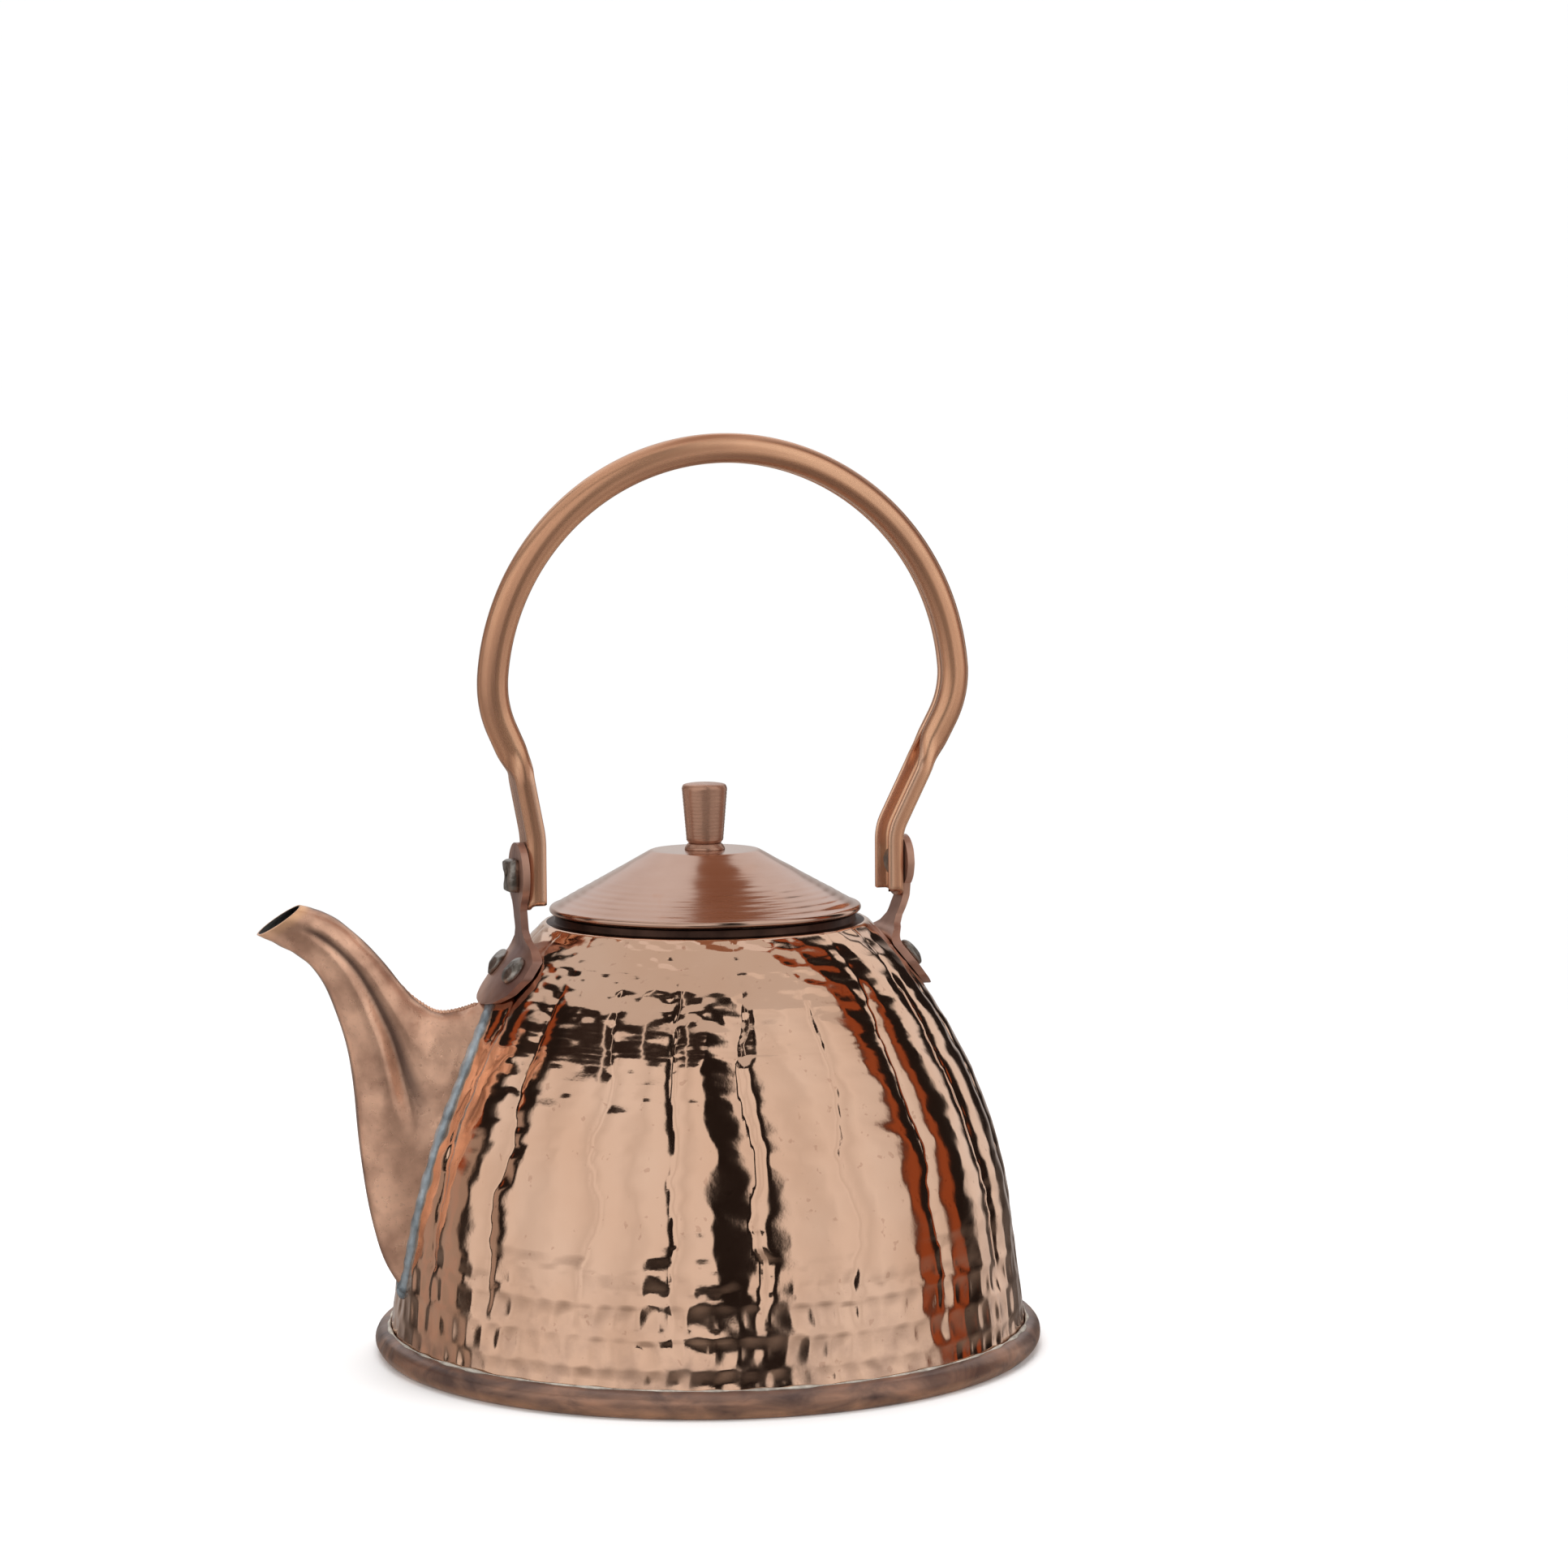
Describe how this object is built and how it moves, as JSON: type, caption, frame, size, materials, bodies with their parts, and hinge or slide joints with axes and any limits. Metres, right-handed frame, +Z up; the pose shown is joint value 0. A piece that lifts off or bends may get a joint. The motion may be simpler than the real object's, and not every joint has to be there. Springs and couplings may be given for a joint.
{
  "type": "copper kettle",
  "caption": "Small domed kettle of fluted, hammered sheet copper with a curved spout, a lift-off conical lid and a swinging bail handle.",
  "frame": {"origin": "middle of the base's flat underside, on the surface that the kettle stands on", "axes": "+Z up, -X towards the spout, the handle stands in the XZ plane, and +Y is the side away from the front view"},
  "size_m": [0.1936, 0.165, 0.2249],
  "materials": {
    "polished_copper": "polished, fluted and hand hammered",
    "spun_copper": "satin with fine turned rings",
    "spout_copper": "satin, slightly pitted, darker at the edges",
    "handle_copper": "satin with streaks along its length",
    "knob_copper": "satin, turned",
    "ear_copper": "oxidised brown",
    "base_copper": "dark patina",
    "rivet_metal": "grey, oxidised and hammered",
    "solder": "dull grey tin solder"
  },
  "bodies": {
    "kettle": {"body_shell": "polished_copper", "base_pan": "base_copper", "base_solder_seam": "solder", "spout_shell": "spout_copper", "spout_solder_seam": "solder", "spout_back_braze": "spout_copper", "spout_side_ear": "ear_copper", "back_side_ear": "ear_copper", "spout_ear_rivet_front": "rivet_metal", "spout_ear_rivet_rear": "rivet_metal", "back_ear_rivet_front": "rivet_metal", "back_ear_rivet_rear": "rivet_metal", "spout_pivot_rivet": "rivet_metal", "back_pivot_rivet": "rivet_metal"},
    "lid": {"lid_shell": "spun_copper", "lid_collar": "spun_copper", "lid_collar_solder": "solder", "lid_knob": "knob_copper", "knob_washer": "knob_copper", "knob_backing_washer": "knob_copper"},
    "handle": {"handle_bail": "handle_copper"}
  },
  "joints": [
    {"name": "handle_swing", "type": "hinge", "parent": "kettle", "child": "handle", "pos_m": [0, 0, 0.1182], "axis": [1, 0, 0], "range_deg": [-110, 110]},
    {"name": "lid_lift", "type": "slide", "parent": "kettle", "child": "lid", "axis": [0, 0, 1], "range_m": [0, 0.06]}
  ]
}
